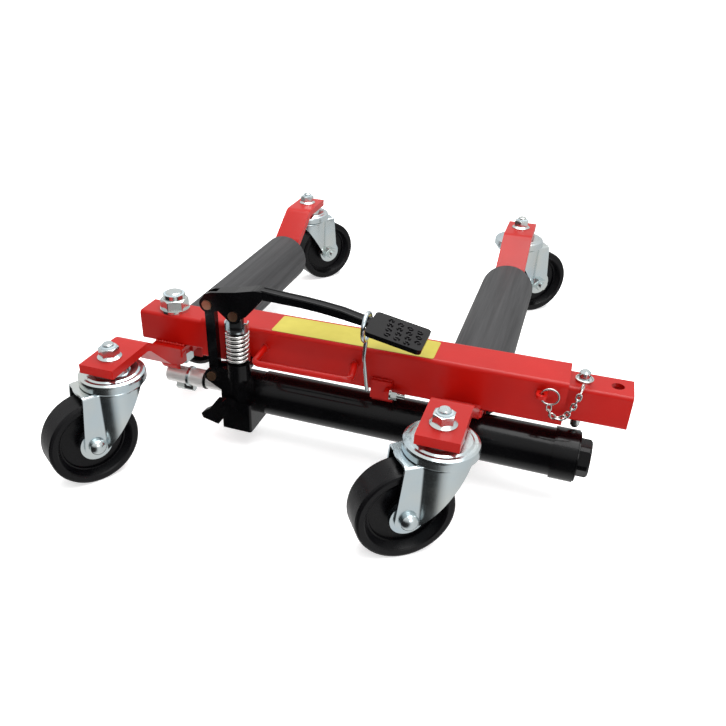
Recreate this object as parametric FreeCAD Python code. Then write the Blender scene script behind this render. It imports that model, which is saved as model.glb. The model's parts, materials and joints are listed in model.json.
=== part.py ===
"""Hydraulic wheel dolly: a telescoping beam, two tyre rollers, a foot pump and four swivel casters.

Working frame: X runs along the beam, Y goes from the beam towards the rear casters, Z is up.
x = 0 is the left end of the outer tube, y = 0 the beam's centre line, z = 0 the floor.
Every part is moved by ORIGIN on export, so that the stored origin is on the floor under the
middle of the dolly's outline. All lengths are in millimetres.
"""
import FreeCAD, Part
import math
import os

V = FreeCAD.Vector
X_AXIS, Y_AXIS, Z_AXIS = V(1, 0, 0), V(0, 1, 0), V(0, 0, 1)
ORIGIN = V(180.2, 153.6, 0)

# telescoping beam
BEAM_Z = 116.0
OUTER_SIZE, OUTER_WALL, OUTER_CORNER, OUTER_LENGTH = 50.0, 5.0, 5.0, 407.0
INNER_SIZE, INNER_WALL, INNER_CORNER = 38.0, 4.0, 4.0
INNER_LEFT, INNER_RIGHT = -86.0, 467.0
PIN_HOLES_X = (420.0, 452.0)
PIN_HOLE_R = 6.3
BEAM_FRONT = -OUTER_SIZE / 2
BEAM_BOTTOM = BEAM_Z - OUTER_SIZE / 2
INNER_BOTTOM = BEAM_Z - INNER_SIZE / 2
INNER_TOP = BEAM_Z + INNER_SIZE / 2

# tyre rollers and the arms that carry them
LEFT_X, RIGHT_X = -48.0, 306.0
ROLLER_R, ROLLER_WALL, ROLLER_Z = 36.4, 3.5, 76.5
ROLLER_NEAR, ROLLER_FAR = 36.0, 345.5
SHAFT_R, SHAFT_END = 12.5, 348.0
BUSH_LENGTH, BUSH_RECESS = 14.0, 4.0
RUNNING = 0.05
PIVOT_BOLT_R = 9.95
FOOT_PLATE_T = 5.0

# flat bars that hold the casters
BAR_T, BAR_WIDTH, BAR_TOP, BAR_BEND = 10.0, 41.0, 139.0, 16.0
BAR_Z = BAR_TOP - BAR_T / 2
BAR_TIP = 26.0
PIVOT_Y = {"front_left": -137.0, "front_right": -134.0, "rear_left": 447.0, "rear_right": 444.0}
TRAIL_ANGLE = {"front_left": 236.7, "front_right": 214.9, "rear_left": 52.4, "rear_right": 38.5}

# swivel casters
WHEEL_R, WHEEL_HALF, TRAIL, AXLE_R = 50.0, 16.0, 34.5, 5.0
KINGPIN_R, CUP_R, BALL_R, BALL_CIRCLE, BALL_COUNT = 6.0, 36.0, 3.0, 25.0, 16
CROWN_TOP, CROWN_T, LEG_T = 111.5, 2.5, 2.5
FORK_R, FORK_HALF, CROWN_TAIL_R = 32.0, 21.0, 43.5
BAR_UNDER = BAR_TOP - BAR_T

# hydraulic ram and pump
RAM_Y, RAM_Z = -15.0, 53.5
ROD_R, CYLINDER_R, BORE_R = 10.5, 25.5, 20.5
RAM_LEFT, PISTON_X, PISTON_T = -56.0, 190.0, 16.0
LUG_X0, LUG_X1, LUG_T, LUG_BOLT_Z = 208.5, 231.5, 5.0, 96.0
BLOCK_LEFT, BLOCK_RIGHT = 40.0, 77.0
PUMP_X, PUMP_Y, COLUMN_R, COLUMN_TOP = 57.0, -45.0, 14.0, 107.0
PLUNGER_R = 8.0
LINK_FOOT = (27.0, 87.0)
LINK_HEAD = (26.0, 175.5)
LEVER_EYE = (57.0, 166.5)
LINK_HALF_T, CHEEK_GAP = 4.0, 4.3
PIN_R = 4.0
OPEN_PIVOT_PLAY = 1.2
SPRING_TOP = 147.0
ARM_HALF, HEAD_HALF = 6.8, 8.2
PAD_LEFT, PAD_RIGHT, PAD_HALF, PAD_T = (209.0, 184.6), (267.5, 172.9), 24.8, 5.0
RELEASE_HUB, RELEASE_SCREW_R = (51.0, 55.0), 5.0

# pin and chain
HOOK_X, HOOK_LOOP_Z, HOOK_LOOP_R, HOOK_WIRE_R = 205.2, 177.0, 14.6, 2.2
CHAIN_WIRE_R, LINK_PITCH = 0.75, 6.3
RING_R, RING_WIRE_R, RING_Z, RING_HOLE_Y, RING_HOLE_R = 8.0, 0.9, 141.6, -1.1, 2.3
EYE_RING_X, EYE_RING_Y, EYE_RING_Z = 391.3, -32.0, 127.5


def box(x0, x1, y0, y1, z0, z1):
    return Part.makeBox(x1 - x0, y1 - y0, z1 - z0, V(x0, y0, z0))


def rod(radius, start, end):
    line = V(*end) - V(*start)
    return Part.makeCylinder(radius, line.Length, V(*start), line)


def ring(outer, inner, start, end):
    return rod(outer, start, end).cut(rod(inner, start, end))


def face_of(points):
    return Part.Face(Part.makePolygon([V(*p) for p in points] + [V(*points[0])]))


def prism_y(outline, y0, y1):
    """Extrude an (x, z) outline from y0 to y1."""
    return face_of([(x, y0, z) for x, z in outline]).extrude(V(0, y1 - y0, 0))


def prism_x(outline, x0, x1):
    """Extrude a (y, z) outline from x0 to x1."""
    return face_of([(x0, y, z) for y, z in outline]).extrude(V(x1 - x0, 0, 0))


def turned(outline, axis_point=V(0, 0, 0)):
    """Turn an (r, z) outline round the vertical through axis_point."""
    solid = face_of([(r, 0, z) for r, z in outline]).revolve(V(0, 0, 0), Z_AXIS, 360)
    return solid.translate(axis_point)


def hexagon(across_flats, start, end):
    line = V(*end) - V(*start)
    side = V(0, 0, 1) if abs(line.z) < line.Length / 2 else V(1, 0, 0)
    other = line.cross(side).normalize()
    corner = across_flats / math.sqrt(3)
    points = []
    for i in range(6):
        a = math.radians(60 * i + 30)
        points.append(tuple(V(*start) + side * (corner * math.cos(a)) + other * (corner * math.sin(a))))
    return face_of(points).extrude(line)


def rounded_bar(size, corner, x0, x1):
    solid = box(x0, x1, -size / 2, size / 2, BEAM_Z - size / 2, BEAM_Z + size / 2)
    along = [e for e in solid.Edges if abs(e.tangentAt(e.FirstParameter).x) > 0.9]
    return solid.makeFillet(corner, along)


def rounded_tube(size, wall, corner, x0, x1):
    bore_corner = max(corner - wall, 1.0)
    return rounded_bar(size, corner, x0, x1).cut(rounded_bar(size - 2 * wall, bore_corner, x0, x1))


def smooth_path(points, radius):
    """Straight runs joined by tangent arcs; radius is one value or one for each inner point."""
    pts = [V(*p) for p in points]
    radii = radius if isinstance(radius, (list, tuple)) else [radius] * (len(pts) - 2)
    edges, last = [], pts[0]
    for i in range(1, len(pts) - 1):
        into = (pts[i] - pts[i - 1]).normalize()
        out = (pts[i + 1] - pts[i]).normalize()
        half = into.getAngle(out) / 2
        cut = radii[i - 1] * math.tan(half)
        start, end = pts[i] - into * cut, pts[i] + out * cut
        middle = pts[i] + (out - into).normalize() * (radii[i - 1] / math.cos(half) - radii[i - 1])
        edges += [Part.LineSegment(last, start).toShape(), Part.Arc(start, middle, end).toShape()]
        last = end
    edges.append(Part.LineSegment(last, pts[-1]).toShape())
    return Part.Wire(edges)


def bent_rod(points, radius, wire_r):
    path = smooth_path(points, radius)
    start = V(*points[0])
    section = Part.Wire(Part.makeCircle(wire_r, start, V(*points[1]) - start))
    return path.makePipeShell([section], True, True)


def bent_bar(path, x_middle):
    """A flat bar whose centre line follows (y, z) points, BAR_WIDTH wide along X."""
    x0 = x_middle - BAR_WIDTH / 2
    line = smooth_path([(x0, y, z) for y, z in path], BAR_BEND)
    shape = None
    for edge in line.Edges:
        tangent = edge.tangentAt(edge.FirstParameter)
        side = tangent.cross(X_AXIS).normalize() * (BAR_T / 2)
        start = edge.valueAt(edge.FirstParameter)
        edge_line = Part.LineSegment(start - side, start + side).toShape()
        if isinstance(edge.Curve, Part.Line):
            face = edge_line.extrude(edge.valueAt(edge.LastParameter) - start)
        else:
            spin = edge.Curve.Axis
            angle = math.degrees(edge.LastParameter - edge.FirstParameter)
            face = edge_line.revolve(edge.Curve.Center, spin, angle)
        piece = face.extrude(V(BAR_WIDTH, 0, 0))
        shape = piece if shape is None else shape.fuse(piece)
    return shape.removeSplitter()


def chamfered(solid, size, wanted):
    edges = [e for e in solid.Edges if wanted(e)]
    return solid.makeChamfer(size, edges) if edges else solid


# ---------------------------------------------------------------- beam

def outer_tube():
    return rounded_tube(OUTER_SIZE, OUTER_WALL, OUTER_CORNER, 0, OUTER_LENGTH)


def inner_tube():
    tube = rounded_tube(INNER_SIZE, INNER_WALL, INNER_CORNER, INNER_LEFT, INNER_RIGHT)
    for x in PIN_HOLES_X:
        tube = tube.cut(rod(PIN_HOLE_R, (x, 0, INNER_BOTTOM - 1), (x, 0, INNER_TOP + 1)))
    bolt_hole_r = 10.2
    return tube.cut(rod(bolt_hole_r, (LEFT_X, 0, INNER_BOTTOM - 1), (LEFT_X, 0, INNER_TOP + 1)))


def carry_handle():
    wire_r, bend_r, handle_z = 3.5, 8.0, 119.5
    left, right, front = 82.0, 188.0, -63.0
    face = BEAM_FRONT
    points = [(left, face + 2, handle_z), (left + 2, front, handle_z),
              (right + 7, front + 2, handle_z), (right, face + 2, handle_z)]
    return bent_rod(points, bend_r, wire_r).cut(box(0, OUTER_LENGTH, face, face + 9, BEAM_BOTTOM, BEAM_Z + 9))


def chain_eye():
    x0, x1, front, z0, z1 = 378.0, 388.5, -38.0, 125.5, 129.5
    tab = box(x0, x1, front, BEAM_FRONT, z0, z1)
    corners = [e for e in tab.Edges if abs(e.tangentAt(e.FirstParameter).z) > 0.9
               and e.CenterOfMass.y < front + 1]
    hole_x, hole_y, hole_r = 383.3, -32.0, 2.6
    return tab.makeFillet(4.0, corners).cut(rod(hole_r, (hole_x, hole_y, z0 - 1), (hole_x, hole_y, z1 + 1)))


def cylinder_lug():
    """Plate on the beam's lower front edge, and behind it a saddle that grips the cylinder."""
    plate_bottom, plate_top, saddle_front, saddle_back = 85.0, 107.0, -22.0, 5.0
    plate = box(LUG_X0, LUG_X1, BEAM_FRONT - LUG_T, BEAM_FRONT, plate_bottom, plate_top)
    seat = box(LUG_X0, LUG_X1, BEAM_FRONT - LUG_T, saddle_back, plate_bottom, BEAM_BOTTOM)
    saddle = box(LUG_X0, LUG_X1, saddle_front, saddle_back, RAM_Z + 18, plate_bottom)
    body = plate.fuse([seat, saddle])
    return body.cut(rod(CYLINDER_R + 0.02, (LUG_X0 - 1, RAM_Y, RAM_Z), (LUG_X1 + 1, RAM_Y, RAM_Z)))


def lug_bolt():
    bolt_y, washer_r, shank_r = BEAM_FRONT - 9.3, 6.0, 3.0
    start = LUG_X1
    washer = rod(washer_r, (start, bolt_y, LUG_BOLT_Z), (start + 2, bolt_y, LUG_BOLT_Z))
    nut = hexagon(10.0, (start + 2, bolt_y, LUG_BOLT_Z), (start + 8, bolt_y, LUG_BOLT_Z))
    end = rod(shank_r, (start + 8, bolt_y, LUG_BOLT_Z), (start + 16, bolt_y, LUG_BOLT_Z))
    return washer.fuse([nut, end])


def lug_bolt_ear():
    """Small ear on the lug that takes the bolt."""
    ear_front, ear_r = BEAM_FRONT - 14.0, 5.0
    return box(LUG_X1 - 6, LUG_X1, ear_front, BEAM_FRONT - LUG_T, LUG_BOLT_Z - ear_r, LUG_BOLT_Z + ear_r)


# ---------------------------------------------------------------- arms and rollers

def right_arm_plate():
    half, back, bottom, top = 22.0, 10.0, 56.0, 126.0
    face = OUTER_SIZE / 2
    plate = box(RIGHT_X - half, RIGHT_X + half, face, face + back, bottom, top)
    return plate.cut(rod(SHAFT_R + 0.02, (RIGHT_X, face + 2, ROLLER_Z), (RIGHT_X, face + back + 1, ROLLER_Z)))


def left_arm_eye():
    """Eye on the pivot bolt, with the block that holds the roller's shaft."""
    eye_r, bottom, top, plate_end = 16.5, 80.0, 91.7, 20.0
    left, right, block_end, block_bottom, block_top = LEFT_X - 16, LEFT_X + 20, 34.0, 62.0, 90.5
    eye = rod(eye_r, (LEFT_X, 0, bottom), (LEFT_X, 0, top))
    plate = box(left, right, 0, plate_end, bottom, top)
    block = box(left, right, plate_end, block_end, block_bottom, block_top)
    body = eye.fuse([plate, block]).removeSplitter()
    body = body.cut(rod(PIVOT_BOLT_R + RUNNING, (LEFT_X, 0, bottom - 1), (LEFT_X, 0, top + 1)))
    return body.cut(rod(SHAFT_R + 0.02, (LEFT_X, plate_end + 4, ROLLER_Z), (LEFT_X, block_end + 1, ROLLER_Z)))


def arm_shaft(x, start):
    return rod(SHAFT_R, (x, start, ROLLER_Z), (x, SHAFT_END, ROLLER_Z))


def roller(x):
    tube = ring(ROLLER_R, ROLLER_R - ROLLER_WALL, (x, ROLLER_NEAR, ROLLER_Z), (x, ROLLER_FAR, ROLLER_Z))
    return chamfered(tube, 0.8, lambda e: abs(e.Length - 2 * math.pi * ROLLER_R) < 0.01)


def roller_bushes(x):
    bushes = []
    for start in (ROLLER_NEAR + BUSH_RECESS, ROLLER_FAR - BUSH_RECESS - BUSH_LENGTH):
        ends = (x, start, ROLLER_Z), (x, start + BUSH_LENGTH, ROLLER_Z)
        bushes.append(ring(ROLLER_R - ROLLER_WALL - 0.01, SHAFT_R + RUNNING, *ends))
    return Part.makeCompound(bushes)


def pivot_bolt():
    head_bottom, head_top, end, flats = 67.0, 79.7, 158.5, 30.0
    shank = rod(PIVOT_BOLT_R, (LEFT_X, 0, head_top), (LEFT_X, 0, end))
    shank = chamfered(shank, 1.5, lambda e: e.CenterOfMass.z > end - 0.1 and e.Length > 60)
    return hexagon(flats, (LEFT_X, 0, head_bottom), (LEFT_X, 0, head_top)).fuse(shank)


def pivot_nut():
    """Washer, and a self-locking nut with its round collar."""
    washer_r, washer_top, flats, hex_top, collar_r, collar_top = 18.0, 138.0, 30.0, 150.5, 13.2, 156.0
    bore = rod(PIVOT_BOLT_R + 0.02, (LEFT_X, 0, INNER_TOP - 1), (LEFT_X, 0, collar_top + 1))
    washer = rod(washer_r, (LEFT_X, 0, INNER_TOP), (LEFT_X, 0, washer_top)).cut(bore)
    nut = hexagon(flats, (LEFT_X, 0, washer_top), (LEFT_X, 0, hex_top))
    limit = turned([(0, washer_top), (flats / 2 + 2, washer_top), (flats / 2 + 2, hex_top - 1.6),
                    (flats / 2 - 0.6, hex_top), (0, hex_top)], V(LEFT_X, 0, 0))
    collar = rod(collar_r, (LEFT_X, 0, hex_top), (LEFT_X, 0, collar_top))
    return Part.makeCompound([washer, nut.common(limit).fuse(collar).cut(bore)])


# ---------------------------------------------------------------- caster brackets

def kingpin_hole(place):
    x = LEFT_X if place.endswith("left") else RIGHT_X
    y = PIVOT_Y[place]
    return rod(KINGPIN_R + 0.3, (x, y, BAR_UNDER - 5), (x, y, BAR_TOP + 5))


def left_front_bracket():
    """Bar from the caster down to the foot plate, which is bolted and welded under the inner tube."""
    left, right = LEFT_X - BAR_WIDTH / 2, LEFT_X + BAR_WIDTH / 2
    tip, bend, foot_top, foot_bottom, foot_back = PIVOT_Y["front_left"] - BAR_TIP, -94.0, -28.9, 77.0, -17.5
    plate_back, plate_right = 19.0, -26.5
    outline = [(tip, BAR_TOP), (bend, BAR_TOP), (foot_top, INNER_BOTTOM), (foot_back, INNER_BOTTOM),
               (foot_back, foot_bottom), (-29.4, foot_bottom), (-52.6, 89.8), (-93.5, BAR_UNDER), (tip, BAR_UNDER)]
    bar = prism_x(outline, left, right)
    bends = [e for e in bar.Edges if abs(e.tangentAt(e.FirstParameter).x) > 0.9
             and (abs(e.CenterOfMass.y - bend) < 1 or -60 < e.CenterOfMass.y < -29.2)
             and e.CenterOfMass.z < BAR_TOP + 1 and e.CenterOfMass.z != INNER_BOTTOM]
    bar = bar.makeFillet(14.0, bends)
    plate = box(left, plate_right, foot_top, plate_back, INNER_BOTTOM - FOOT_PLATE_T, INNER_BOTTOM)
    tube = rounded_bar(INNER_SIZE, INNER_CORNER, left - 1, plate_right + 1)
    bolt_hole = rod(PIVOT_BOLT_R + 0.25, (LEFT_X, 0, foot_bottom), (LEFT_X, 0, INNER_BOTTOM + 1))
    return bar.fuse(plate).cut(tube).cut(bolt_hole).cut(kingpin_hole("front_left"))


def right_front_bracket():
    """Bar from the caster down to the underside of the outer tube, with the weld that joins them."""
    bend, foot_end, slope, weld_run = -94.0, -3.0, 0.683, 7.0
    under, face = BEAM_BOTTOM, BEAM_FRONT
    foot_z = under - BAR_T / 2
    foot_y = bend + (BAR_Z - foot_z) / slope
    path = [(PIVOT_Y["front_right"] - BAR_TIP, BAR_Z), (bend, BAR_Z), (foot_y, foot_z), (foot_end, foot_z)]
    x0, x1 = RIGHT_X - BAR_WIDTH / 2, RIGHT_X + BAR_WIDTH / 2
    weld = prism_x([(face - weld_run, under), (face, under + weld_run), (foot_end, under + weld_run),
                    (foot_end, under - 1), (face - weld_run, under - 1)], x0, x1)
    tube = rounded_bar(OUTER_SIZE, OUTER_CORNER, x0 - 1, x1 + 1)
    return bent_bar(path, RIGHT_X).fuse(weld).cut(tube).cut(kingpin_hole("front_right"))


def rear_bracket(place):
    x = LEFT_X if place == "rear_left" else RIGHT_X
    tab_y = SHAFT_END + BAR_T / 2
    tab_bottom, tab_top, shoulder_y = 64.0, 97.0, 408.0
    path = [(tab_y, tab_bottom), (tab_y, tab_top), (shoulder_y, BAR_Z), (PIVOT_Y[place] + BAR_TIP, BAR_Z)]
    return bent_bar(path, x).cut(kingpin_hole(place))


# ---------------------------------------------------------------- casters

def kingpin(x, y):
    head_r, head_bottom, end = 11.0, 101.0, 155.5
    head_top = CROWN_TOP - CROWN_T - 0.3
    flange_r, flange_top, flats, nut_top = 13.0, BAR_TOP + 2.5, 19.0, BAR_TOP + 12.0
    head = turned([(0, head_bottom), (head_r - 4, head_bottom), (head_r, head_bottom + 3),
                   (head_r, head_top), (0, head_top)], V(x, y, 0))
    shank = rod(KINGPIN_R, (x, y, head_top), (x, y, end))
    shank = chamfered(shank, 1.2, lambda e: e.CenterOfMass.z > end - 0.1 and e.Length > 30)
    bore = rod(KINGPIN_R + 0.02, (x, y, BAR_TOP - 1), (x, y, nut_top + 1))
    nut = hexagon(flats, (x, y, BAR_TOP), (x, y, nut_top))
    limit = turned([(0, BAR_TOP), (flange_r, BAR_TOP), (flange_r, nut_top - 1.4),
                    (flats / 2 - 0.4, nut_top), (0, nut_top)], V(x, y, 0))
    flange = turned([(0, BAR_TOP), (flange_r, BAR_TOP), (flange_r, BAR_TOP + 1.2),
                     (flats / 2 + 0.6, flange_top + 1.0), (0, flange_top + 1.0)], V(x, y, 0))
    return [head.fuse(shank), nut.common(limit).fuse(flange).cut(bore)]


def swivel_cup(x, y):
    """Pressed cup that covers the ball ring, clamped under the bracket."""
    hole, under, lip_bottom, wall = KINGPIN_R + 0.02, 118.5, 112.8, 2.2
    outline = [(hole, BAR_UNDER), (19, BAR_UNDER), (20.5, 124.3), (28, 124.3), (30, 123), (33, 123),
               (35.3, 121.5), (CUP_R, 119), (CUP_R, lip_bottom), (CUP_R - wall, lip_bottom),
               (CUP_R - wall, under), (hole, under)]
    return turned(outline, V(x, y, 0))


def swivel_balls(x, y):
    z = (CROWN_TOP + 118.5) / 2
    balls = []
    for i in range(BALL_COUNT):
        a = 2 * math.pi * i / BALL_COUNT
        balls.append(Part.makeSphere(BALL_R, V(x + BALL_CIRCLE * math.cos(a), y + BALL_CIRCLE * math.sin(a), z)))
    return balls


def fork_blank(inset, tail, low, top):
    """Round body under the cup with a flat-sided tail, rounded where the two meet."""
    radius, half, crease_r, top_r = FORK_R - inset, FORK_HALF - inset, 5.0 + inset, 4.0 - inset
    blank = rod(radius, (0, 0, low), (0, 0, top)).fuse(box(tail, 0, -half, half, low, top)).removeSplitter()
    creases = [e for e in blank.Edges if abs(e.tangentAt(e.FirstParameter).z) > 0.9
               and abs(e.CenterOfMass.x + math.sqrt(radius ** 2 - half ** 2)) < 1]
    blank = blank.makeFillet(crease_r, creases)
    rims = [e for e in blank.Edges if e.CenterOfMass.z > top - 0.01 and e.CenterOfMass.x > tail + 1]
    return blank.makeFillet(top_r, rims)


def fork_side_outline():
    """Side view: a round end on the axle, a steep tail and a slanted leading edge."""
    end_r, tail_top_x, nose_end = 13.5, -41.3, 50.0
    centre, nose = V(-TRAIL, 0, WHEEL_R), V(20.5, 0, 107.5)
    line = nose - centre
    angle = math.atan2(line.z, line.x) - math.acos(end_r / line.Length)
    touch = centre + V(math.cos(angle), 0, math.sin(angle)) * end_r
    low_angle = (angle - math.pi) / 2
    low = centre + V(math.cos(low_angle), 0, math.sin(low_angle)) * end_r
    back, top = centre + V(-end_r, 0, 0), CROWN_TOP + 5
    corners = [V(tail_top_x, 0, top), back, touch, nose, V(nose_end, 0, nose.z), V(nose_end, 0, top)]
    edges = [Part.LineSegment(corners[0], back).toShape(), Part.Arc(back, low, touch).toShape()]
    edges += [Part.LineSegment(corners[i], corners[(i + 1) % 6]).toShape() for i in range(2, 6)]
    return Part.Face(Part.Wire(edges))


def fork():
    low, tail, open_tail, reach = 30.0, -60.0, -80.0, 60.0
    crown_under = CROWN_TOP - CROWN_T
    shell = fork_blank(0, tail, low, CROWN_TOP).cut(fork_blank(LEG_T, open_tail, low - 1, crown_under))
    side = fork_side_outline().translate(V(0, -reach, 0)).extrude(V(0, 2 * reach, 0))
    edge = FORK_HALF - 2
    crown = rod(CROWN_TAIL_R, (0, 0, crown_under), (0, 0, CROWN_TOP))
    crown = crown.common(box(tail, -20, -edge, edge, crown_under, CROWN_TOP))
    body = shell.common(side).fuse(crown)
    body = body.cut(rod(KINGPIN_R + RUNNING, (0, 0, crown_under - 1), (0, 0, CROWN_TOP + 1)))
    return body.cut(rod(AXLE_R + 0.02, (-TRAIL, -reach, WHEEL_R), (-TRAIL, reach, WHEEL_R)))


def axle(fork_shape):
    """Axle bolt with a domed head and a nut seated on the fork's legs, and the two hub covers."""
    leg_out, head_r, dome, nut_flats, nut_t, end = FORK_HALF, 8.5, 4.5, 16.0, 9.0, 33.5
    cover_r, cover_wall, inside, face, lip = 17.8, 1.6, 16.4, 18.4, 12.5
    x, z = -TRAIL, WHEEL_R
    rim_y = -leg_out - 3.5
    head = rod(head_r, (x, rim_y, z), (x, -leg_out, z))
    cap = Part.makeSphere(head_r + 1.5, V(x, rim_y + dome, z))
    cap = cap.common(box(x - 12, x + 12, rim_y - 8, rim_y, z - 12, z + 12))
    shank = rod(AXLE_R, (x, -leg_out, z), (x, end, z))
    nut = hexagon(nut_flats, (x, leg_out, z), (x, leg_out + nut_t, z))
    nut = nut.cut(rod(AXLE_R + 0.02, (x, leg_out - 1, z), (x, end, z)))
    covers = []
    for s in (-1, 1):
        disc = ring(cover_r, AXLE_R + 0.02, (x, s * inside, z), (x, s * face, z))
        covers.append(disc.fuse(ring(cover_r, cover_r - cover_wall, (x, s * lip, z), (x, s * inside, z))))
    return [head.fuse([cap, shank]).cut(fork_shape), nut.cut(fork_shape)] + covers


def wheel():
    hub_r, hub_half, web_half, web_r, step_r, rim_r, shoulder = 13.5, 16.2, 5.5, 34.0, 36.5, 41.0, 3.0
    bore = AXLE_R + RUNNING
    half = [(bore, hub_half), (hub_r - 1, hub_half), (hub_r, hub_half - 1), (hub_r, web_half + 1),
            (hub_r + 1.5, web_half), (web_r, web_half), (web_r + 1, web_half + 2.5), (step_r, web_half + 2.5),
            (rim_r - 0.5, WHEEL_HALF - 1), (rim_r + 1, WHEEL_HALF), (WHEEL_R - shoulder, WHEEL_HALF),
            (WHEEL_R - 0.9, WHEEL_HALF - 0.9), (WHEEL_R, WHEEL_HALF - shoulder)]
    outline = half + [(r, -z) for r, z in reversed(half)]
    spin = turned(outline)
    spin.rotate(V(0, 0, 0), X_AXIS, 90)
    return spin.translate(V(-TRAIL, 0, WHEEL_R))


def at_caster(shape, place):
    x = LEFT_X if place.endswith("left") else RIGHT_X
    shape = shape.copy()
    shape.rotate(V(0, 0, 0), Z_AXIS, TRAIL_ANGLE[place] - 180)
    return shape.translate(V(x, PIVOT_Y[place], 0))


# ---------------------------------------------------------------- ram

def cylinder_tube():
    start, end = BLOCK_RIGHT, 424.0
    return ring(CYLINDER_R, BORE_R, (start, RAM_Y, RAM_Z), (end, RAM_Y, RAM_Z))


def cylinder_collar():
    start, end, outer = 404.0, 427.5, 27.5
    return ring(outer, CYLINDER_R + 0.02, (start, RAM_Y, RAM_Z), (end, RAM_Y, RAM_Z))


def cylinder_plug():
    inside, face, end, head_r = 408.0, 424.2, 441.0, 20.0
    body = rod(BORE_R - 0.02, (inside, RAM_Y, RAM_Z), (face, RAM_Y, RAM_Z))
    head = rod(head_r, (face, RAM_Y, RAM_Z), (end, RAM_Y, RAM_Z))
    head = chamfered(head, 2.0, lambda e: e.CenterOfMass.x > end - 0.1 and e.Length > 100)
    flats = hexagon(2 * head_r - 3, (face + 4, RAM_Y, RAM_Z), (end, RAM_Y, RAM_Z))
    neck = rod(head_r, (face, RAM_Y, RAM_Z), (face + 4, RAM_Y, RAM_Z))
    return body.fuse([head.common(flats), neck])


def ram_rod():
    solid = rod(ROD_R, (RAM_LEFT, RAM_Y, RAM_Z), (PISTON_X + PISTON_T, RAM_Y, RAM_Z))
    return chamfered(solid, 2.0, lambda e: e.CenterOfMass.x < RAM_LEFT + 0.1 and e.Length > 60)


def piston():
    start = PISTON_X
    return ring(BORE_R - 0.08, ROD_R + 0.02, (start, RAM_Y, RAM_Z), (start + PISTON_T - 1, RAM_Y, RAM_Z))


def ram_lug():
    """Lug that joins the ram rod to the foot of the left front bracket."""
    left, right, front, back, bottom, top = -58.0, -36.0, -29.5, -19.5, 60.0, 77.0
    lug = box(left, right, front, back, bottom, top)
    return lug.cut(rod(ROD_R + 0.02, (left - 1, RAM_Y, RAM_Z), (right + 1, RAM_Y, RAM_Z)))


def rod_collar():
    """Clamp ring on the ram rod, with its pinch bolt underneath."""
    ring_left, ring_right, outer, lug_left, lug_right = -26.5, -23.0, 12.6, -33.0, -20.5
    head_left, head_flats, half = -44.5, 9.0, 5.0
    lug_z = RAM_Z - outer - 2.4
    clamp = rod(outer, (ring_left, RAM_Y, RAM_Z), (ring_right, RAM_Y, RAM_Z))
    lug = rod(half, (lug_left, RAM_Y, lug_z), (lug_right, RAM_Y, lug_z))
    neck = box(lug_left, lug_right, RAM_Y - half, RAM_Y + half, lug_z, RAM_Z - ROD_R + 1)
    head = hexagon(head_flats, (head_left, RAM_Y, lug_z), (lug_left, RAM_Y, lug_z))
    hole = rod(ROD_R + 0.02, (RAM_LEFT - 1, RAM_Y, RAM_Z), (0, RAM_Y, RAM_Z))
    return clamp.fuse([lug, neck, head]).cut(hole)


# ---------------------------------------------------------------- pump

def pump_block():
    front, back, bottom, base_top = -61.0, -14.0, 23.5, 60.0
    head_left, head_r = 29.0, 24.0
    base = box(BLOCK_LEFT, BLOCK_RIGHT, front, back, bottom, base_top)
    upright = [e for e in base.Edges if abs(e.tangentAt(e.FirstParameter).z) > 0.9]
    base = base.makeFillet(3.0, upright)
    head = rod(head_r, (head_left, RAM_Y, RAM_Z), (BLOCK_RIGHT, RAM_Y, RAM_Z))
    column = rod(COLUMN_R, (PUMP_X, PUMP_Y, bottom + 6), (PUMP_X, PUMP_Y, COLUMN_TOP))
    column_block = box(PUMP_X - COLUMN_R, PUMP_X + COLUMN_R, PUMP_Y - 13, PUMP_Y + 8, base_top - 5, 86.0)
    web = box(PUMP_X - 9, PUMP_X + 9, PUMP_Y + 5, BEAM_FRONT, BEAM_BOTTOM + 1, 104.0)
    foot_x, foot_z = LINK_FOOT
    ear_r, gap_front, gap_back, ear_front, ear_back = 9.0, -49.4, -40.6, -55.5, -34.5
    ear = prism_y([(foot_x - 5, foot_z - 7.4), (PUMP_X - 6, 64.0), (PUMP_X - 6, 101.0),
                   (foot_x, foot_z + ear_r)], ear_front, ear_back)
    ear = ear.fuse(rod(ear_r, (foot_x, ear_front, foot_z), (foot_x, ear_back, foot_z)))
    body = base.fuse([head, column, column_block, web, ear]).removeSplitter()
    slot = box(foot_x - 12, PUMP_X - COLUMN_R - 1, gap_front, gap_back, foot_z - 12, foot_z + 25)
    body = body.cut(slot)
    body = body.cut(rod(PIN_R + 0.02, (foot_x, ear_front - 1, foot_z), (foot_x, ear_back + 1, foot_z)))
    body = body.cut(rod(ROD_R + RUNNING, (head_left - 1, RAM_Y, RAM_Z), (BLOCK_RIGHT + 1, RAM_Y, RAM_Z)))
    chamber_floor = 68.0
    body = body.cut(rod(PLUNGER_R + RUNNING, (PUMP_X, PUMP_Y, chamber_floor), (PUMP_X, PUMP_Y, COLUMN_TOP + 1)))
    hub_x, hub_z = RELEASE_HUB
    screw_depth = 16.0
    return body.cut(rod(RELEASE_SCREW_R + RUNNING, (hub_x, front - 1, hub_z), (hub_x, front + screw_depth, hub_z)))


def link_foot_pin():
    x, z = LINK_FOOT
    return rivet(x, z, -55.5, -34.5)


def rivet(x, z, front, back):
    head_r, head_t = 5.6, 1.8
    shank = rod(PIN_R, (x, front, z), (x, back, z))
    heads = [rod(head_r, (x, front - head_t, z), (x, front - 0.05, z)),
             rod(head_r, (x, back + 0.05, z), (x, back + head_t, z))]
    joined = shank.fuse([rod(PIN_R, (x, front - head_t, z), (x, back + head_t, z))] + heads)
    return joined.removeSplitter()


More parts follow.
